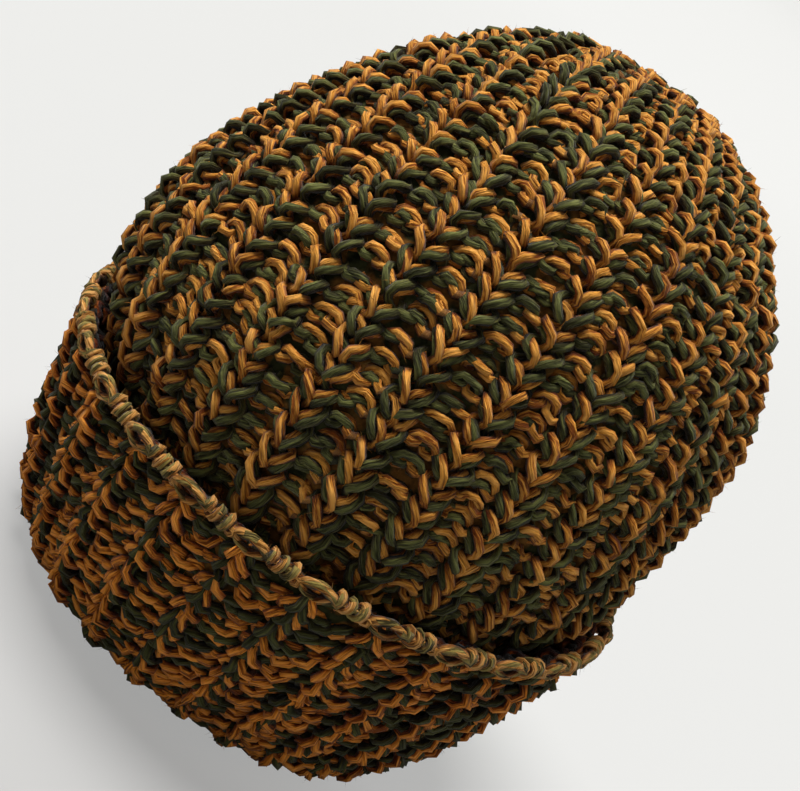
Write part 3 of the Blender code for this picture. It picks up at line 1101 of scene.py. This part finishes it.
def once(name, build, *inputs):
    """What build makes, which is made only the first time it is asked for."""
    if name not in kept:
        kept[name] = build(*inputs)
    return kept[name]


def edge_middle():
    """The middle of the cast-on edge, in metres."""
    low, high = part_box("cast_on_edge")
    return (low + high) / 2


def sheet():
    middle = edge_middle() / MM
    return once("sheet", Sheet, (middle.x, middle.y))


def crown_wool():
    yarn = bpy.context.scene.knit_hat_yarn
    return marled_wool("crown_wool", yarn.orange, yarn.green, yarn.orange_dark, yarn.green_dark)


def cuff_wool():
    """Wool of the cuff, whose orange is redder and whose green is darker than the crown's: painted shade,
    reddened as by light bounced between strands.
    """
    yarn = bpy.context.scene.knit_hat_yarn
    return marled_wool("cuff_wool", yarn.cuff_orange_shaded, yarn.cuff_green_shaded, yarn.orange_dark, yarn.green_dark)


def edge_wool():
    return marled_wool("edge_wool", *EDGE_COLOURS)


WOOLS = {"crown_knit": crown_wool, "cuff_knit": cuff_wool, "edge_yarn": edge_wool}


def strand_piece(name, parts, slot, sides, lowest):
    """A piece of the courses' strands in the wool of its slot."""
    yarn = bpy.context.scene.knit_hat_yarn
    values = {
        "Strand radius": yarn.strand_radius,
        "Strand offset": yarn.strand_offset,
        "Sides": sides,
        "Lowest place": lowest,
        "Wool": once(slot, WOOLS[slot]),
    }
    return made_solid(name, path_mesh(name, parts), once("strands", strand_tree), values)


def knit(name, first, last, slot, replaces=(), count=STITCH_POINTS, sides=None, seed=1):
    """Makes one piece of the courses from first up to last."""
    yarn = bpy.context.scene.knit_hat_yarn
    part = courses(sheet(), first, last, count, seed)
    piece = strand_piece(name, [part], slot, sides or yarn.sides, yarn.strand_radius * LOWEST_IN_RADII)
    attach(piece, BODY)
    for cad_node in replaces:
        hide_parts(cad_node)


def fill_ground(name, first, last, cad_node):
    """Makes the layer in the middle of the fabric from row first to row last, a dark sheet in painted shade.
    """
    piece = bpy.data.objects.new(name, ground_mesh(name, first, last))
    piece.data.materials.append(once("ground_wool", ground_wool))
    bpy.context.scene.collection.objects.link(piece)
    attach(piece, BODY)
    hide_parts(cad_node)


class KNITHAT_OT_crown(bpy.types.Operator):
    """Knit the crown, from inside the cuff to the gathered top"""

    bl_idname = "knit_hat.crown"
    bl_label = "Knit the crown"

    def execute(self, context):
        start = CROWN_SHOWS - 1
        middle, upper, tip = (CROWN_SHOWS + rows for rows in CROWN_PIECE_ROWS)
        last = sheet().row_count
        fill_ground("crown_ground", CROWN_STARTS, last, "crown")
        knit("crown_foot", CROWN_STARTS, start, "crown_knit", (), HIDDEN_STITCH_POINTS, 3, seed=21)
        knit("crown_lower", start, middle, "crown_knit", ("crown",), seed=22)
        knit("crown_middle", middle, upper, "crown_knit", ("crown",), seed=23)
        knit("crown_upper", upper, tip, "crown_knit", ("crown",), seed=24)
        knit("crown_tip", tip, last, "crown_knit", ("crown",), TIP_STITCH_POINTS, seed=25)
        return {"FINISHED"}


class KNITHAT_OT_cuff(bpy.types.Operator):
    """Knit the cuff and its fold"""

    bl_idname = "knit_hat.cuff"
    bl_label = "Knit the cuff"

    def execute(self, context):
        fill_ground("cuff_ground", 0.4, CROWN_STARTS - 0.1, "cuff")
        knit("cuff_upper", 0, CUFF_PIECE_ROW, "cuff_knit", ("cuff",), seed=31)
        knit("cuff_lower", CUFF_PIECE_ROW, CROWN_STARTS, "cuff_knit", ("cuff",), seed=32)
        return {"FINISHED"}


def cast_on_paths():
    """The two yarns of the cast-on, each as columns, heights over the edge and depths.

    One wraps round the other over each knit column, and they part in between."""
    e = EDGE_SIZES
    rng = np.random.default_rng(EDGE_SEED)
    ribs = np.arange(RIBS)[:, None]
    counts = (e["wraps"] * e["wrap_points"], e["loop_points"], e["core_points"])
    t, s, u = (np.linspace(0, 1, count, endpoint=False)[None, :] for count in counts)
    half = e["wrap_share"]
    jitter = rng.normal(0, e["stray"], (RIBS, 1))
    turn = math.tau * e["wraps"] * t + rng.uniform(-e["turn_stray"], e["turn_stray"], (RIBS, 1))
    radius = e["wrap_radius"] * (1 + e["wrap_varies"] * np.sin(turn * 0.5 + ribs))
    wrap_column = ribs - half + 2 * half * t + e["wrap_aside"] * np.cos(turn)
    wrap_up = e["core_up"] + radius * np.sin(turn) * e["wrap_taller"] + jitter
    wrap_out = e["core_out"] + radius * np.cos(turn)
    core_column = ribs - half + 2 * half * u
    bow = np.sin(math.pi * s)
    loop_column = ribs + half + (1 - 2 * half) * s
    loop_high = e["core_up"] + e["lens_half_height"] * bow * (1 + jitter)
    loop_low = e["core_up"] - e["lens_half_height"] * bow * (1 - jitter)
    loop_out = e["lens_out"] + e["lens_bow"] * bow
    core_up, core_out = (e[key] + 0 * core_column for key in ("core_up", "core_out"))
    outer = ((wrap_column, loop_column), (wrap_up, loop_high), (wrap_out, loop_out))
    inner = ((core_column, loop_column), (core_up, loop_low), (core_out, loop_out))
    return [[np.concatenate([a + 0 * ribs, b + 0 * ribs], 1) for a, b in yarn] for yarn in (outer, inner)]


def edge_fill(rng, column):
    """How full the cast-on's strands are: fuller where they wrap than where they part."""
    e = EDGE_SIZES
    from_rib = np.abs(np.mod(column + 0.5, 1) - 0.5)
    lens = smoothstep(from_rib, e["wrap_share"] - 0.04, e["wrap_share"] + 0.06)
    fill = e["wrap_fill"] + (e["lens_fill"] - e["wrap_fill"]) * lens
    return fill * (1 + e["fill_varies"] * rng.normal(0, 1, len(column)))


def edge_course(path, seed):
    """One closed course of the cast-on in the form that path_mesh takes."""
    rng = np.random.default_rng(seed)
    column, up, out = (np.asarray(a, float).ravel() for a in path)
    base, normal, _, along = sheet().read(column, 0 * column)
    along = unit(along)
    points = base - along * up[:, None] - normal * out[:, None]
    twist = math.tau * EDGE_PLY_TURNS * column + COURSE_TURN * rng.normal()
    # outward from the middle of the bundle, the side left out of the painted flank shade
    core = base - along * EDGE_SIZES["core_up"] - normal * EDGE_SIZES["core_out"]
    travelled = np.cumsum(np.linalg.norm(np.diff(points, axis=0), axis=1))
    tones = rng.normal(0.2, 0.9, 2 * RIBS + 2)
    course = {
        "points": points,
        "ply": ply_direction(points, normal, twist) * EDGE_SPREAD,
        "fill": edge_fill(rng, column),
        "tone": np.interp(column, np.arange(0, RIBS + 1, 0.5), tones),
        "along": np.concatenate([[0], travelled]),
        "height": np.full(len(points), EDGE_SHOWN),
        "knit_share": np.ones(len(points)),
        "facing": np.zeros(len(points)),
        "outward": unit(points - core - 0.4 * normal),
        "there": np.ones(len(points), bool),
    }
    return {key: values[None] for key, values in course.items()}


class KNITHAT_OT_cast_on_edge(bpy.types.Operator):
    """Lay the wrapped and looped strands of the cast-on edge"""

    bl_idname = "knit_hat.cast_on_edge"
    bl_label = "Cast on the edge"

    def execute(self, context):
        outer, inner = cast_on_paths()
        parts = [edge_course(outer, EDGE_SEED + 1), edge_course(inner, EDGE_SEED + 2)]
        piece = strand_piece("cast_on_edge_yarn", parts, "edge_yarn", 4, LOWEST_EDGE)
        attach(piece, BODY)
        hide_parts("cast_on_edge")
        return {"FINISHED"}


class KNITHAT_OT_fuzz(bpy.types.Operator):
    """Raise loose fibres off the face of the yarn"""

    bl_idname = "knit_hat.fuzz"
    bl_label = "Raise the fuzz"

    def execute(self, context):
        yarn = context.scene.knit_hat_yarn
        sources = [o for o in bpy.data.objects if o.name in FUZZY]
        if len(sources) != len(FUZZY):
            raise RuntimeError("the crown, cuff and edge are knitted before their fuzz is raised")
        for k, source in enumerate(sorted(sources, key=lambda o: o.name)):
            values = {
                "Fibres a square metre": yarn.fuzz,
                "Fibre length": yarn.fibre_length,
                "Fibre radius": yarn.fibre_radius,
                "Seed": FUZZ_SEED + k,
                "Wool": source.data.materials[0],
            }
            piece = made_solid(source.name + "_fuzz", source.data.copy(), once("fuzz", fuzz_tree), values)
            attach(piece, BODY)
        return {"FINISHED"}


# Studio


class KNITHAT_OT_stage(bpy.types.Operator):
    """Set up the floor, the backdrop, the lights and the camera"""

    bl_idname = "knit_hat.stage"
    bl_label = "Set up the studio"

    def execute(self, context):
        studio = context.scene.knit_hat_studio
        middle = edge_middle()
        make_floor()
        make_lights(studio)
        make_camera(studio, Vector((middle.x, middle.y, TARGET_HEIGHT)))
        context.scene.view_settings.view_transform = "Standard"
        return {"FINISHED"}


def floor_mesh():
    """A floor that curves up into a backdrop all round."""
    ways = [math.tau * i / FLOOR_SIDES for i in range(FLOOR_SIDES)]
    places = [(0, 0, 0)]
    for radius, height in FLOOR_OUTLINE:
        places += [(radius * math.cos(way), radius * math.sin(way), height) for way in ways]
    faces = []
    for i in range(FLOOR_SIDES):
        j = (i + 1) % FLOOR_SIDES
        faces.append((0, 1 + i, 1 + j))
        for inner in range(1, len(places) - FLOOR_SIDES, FLOOR_SIDES):
            outer = inner + FLOOR_SIDES
            faces.append((inner + i, outer + i, outer + j, inner + j))
    mesh = bpy.data.meshes.new("floor")
    mesh.from_pydata(places, [], faces)
    mesh.shade_smooth()
    return mesh


def pale_paper():
    """Paper that glows to the camera alone, a painted light, so the studio behind stays even and adds no
    light to the hat.
    """
    paper, tree, shader = new_material("pale_paper")
    seen = node(tree, "ShaderNodeLightPath").outputs["Is Camera Ray"]
    place = node(tree, "ShaderNodeTexCoord").outputs["Object"]
    radius = node(tree, "ShaderNodeVectorMath", {0: place}, operation="LENGTH").outputs["Value"]
    open_floor = maths(tree, "MULTIPLY", seen, map_range(tree, radius, GLOW_FROM_RADIUS, GLOW_FULL_RADIUS))
    # painted shade: the glow dims towards the front, away from the backdrop
    depth = node(tree, "ShaderNodeSeparateXYZ", {0: place}).outputs["Y"]
    even = ramp(tree, map_range(tree, depth, GLOW_FRONT, GLOW_BACK), GLOW_PAINTED_FALLOFF)
    looks = {
        "Base Color": mix(tree, "MIX", seen, (0.25, 0.25, 0.25), (0.22, 0.22, 0.22)),
        "Emission Color": mix(tree, "MIX", open_floor, (0.0, 0.0, 0.0), even),
        "Emission Strength": 1.0,
        "Roughness": 0.9,
        "Specular IOR Level": 0.1,
    }
    feed(tree, shader, looks)
    return paper


def make_floor():
    floor = bpy.data.objects.new("floor", floor_mesh())
    floor.data.materials.append(pale_paper())
    bpy.context.scene.collection.objects.link(floor)


def make_lights(studio):
    """A broad light from overhead and even light from all round."""
    lamp = bpy.data.lights.new("key", "SUN")
    lamp.energy = studio.key_power
    lamp.angle = KEY_ANGLE
    lamp.color = KEY_COLOUR
    key = bpy.data.objects.new("key", lamp)
    key.rotation_euler = Vector(KEY_DIRECTION).to_track_quat("-Z", "Y").to_euler()
    bpy.context.scene.collection.objects.link(key)
    world = bpy.data.worlds.new("studio")
    world.use_nodes = True
    background = world.node_tree.nodes["Background"]
    background.inputs["Color"].default_value = (1.0, 1.0, 1.0, 1)
    background.inputs["Strength"].default_value = studio.sky
    bpy.context.scene.world = world


def make_camera(studio, target):
    """The photograph's view: from the front and above, with the camera rolled."""
    elevation, roll = studio.elevation, studio.roll
    back = Vector((0, -math.cos(elevation), math.sin(elevation)))
    right = Vector((1, 0, 0))
    up = Vector((0, math.sin(elevation), math.cos(elevation)))
    side = math.cos(roll) * right + math.sin(roll) * up
    top = -math.sin(roll) * right + math.cos(roll) * up
    lens = bpy.data.cameras.new("camera")
    lens.sensor_width = 36.0
    lens.lens = LENS
    lens.shift_x, lens.shift_y = LENS_SHIFT
    lens.clip_start = 0.05
    lens.clip_end = 50
    camera = bpy.data.objects.new("camera", lens)
    turn = Matrix((side, top, back)).transposed().to_4x4()
    camera.matrix_world = Matrix.Translation(target + back * studio.distance) @ turn
    bpy.context.scene.collection.objects.link(camera)
    bpy.context.scene.camera = camera


# Panel and registration


class KNITHAT_PT_panel(bpy.types.Panel):
    """The hat's sizes, colours and pieces"""

    bl_idname = "KNITHAT_PT_panel"
    bl_label = "Knit hat"
    bl_space_type = "VIEW_3D"
    bl_region_type = "UI"
    bl_category = "Knit hat"

    def draw(self, context):
        layout = self.layout
        for group in (context.scene.knit_hat_yarn, context.scene.knit_hat_studio):
            for key in group.__annotations__:
                layout.prop(group, key)
        for operator in OPERATORS:
            layout.operator(operator.bl_idname)


OPERATORS = (KNITHAT_OT_crown, KNITHAT_OT_cuff, KNITHAT_OT_cast_on_edge, KNITHAT_OT_fuzz, KNITHAT_OT_stage)
CLASSES = (KnitHatYarn, KnitHatStudio, *OPERATORS, KNITHAT_PT_panel)


def register():
    for cls in CLASSES:
        bpy.utils.register_class(cls)
    bpy.types.Scene.knit_hat_yarn = bpy.props.PointerProperty(type=KnitHatYarn)
    bpy.types.Scene.knit_hat_studio = bpy.props.PointerProperty(type=KnitHatStudio)


def unregister():
    del bpy.types.Scene.knit_hat_studio
    del bpy.types.Scene.knit_hat_yarn
    for cls in reversed(CLASSES):
        bpy.utils.unregister_class(cls)


def main():
    register()
    bpy.ops.knit_hat.crown()
    bpy.ops.knit_hat.cuff()
    bpy.ops.knit_hat.cast_on_edge()
    bpy.ops.knit_hat.fuzz()
    bpy.ops.knit_hat.stage()


if __name__ == "__main__":
    main()
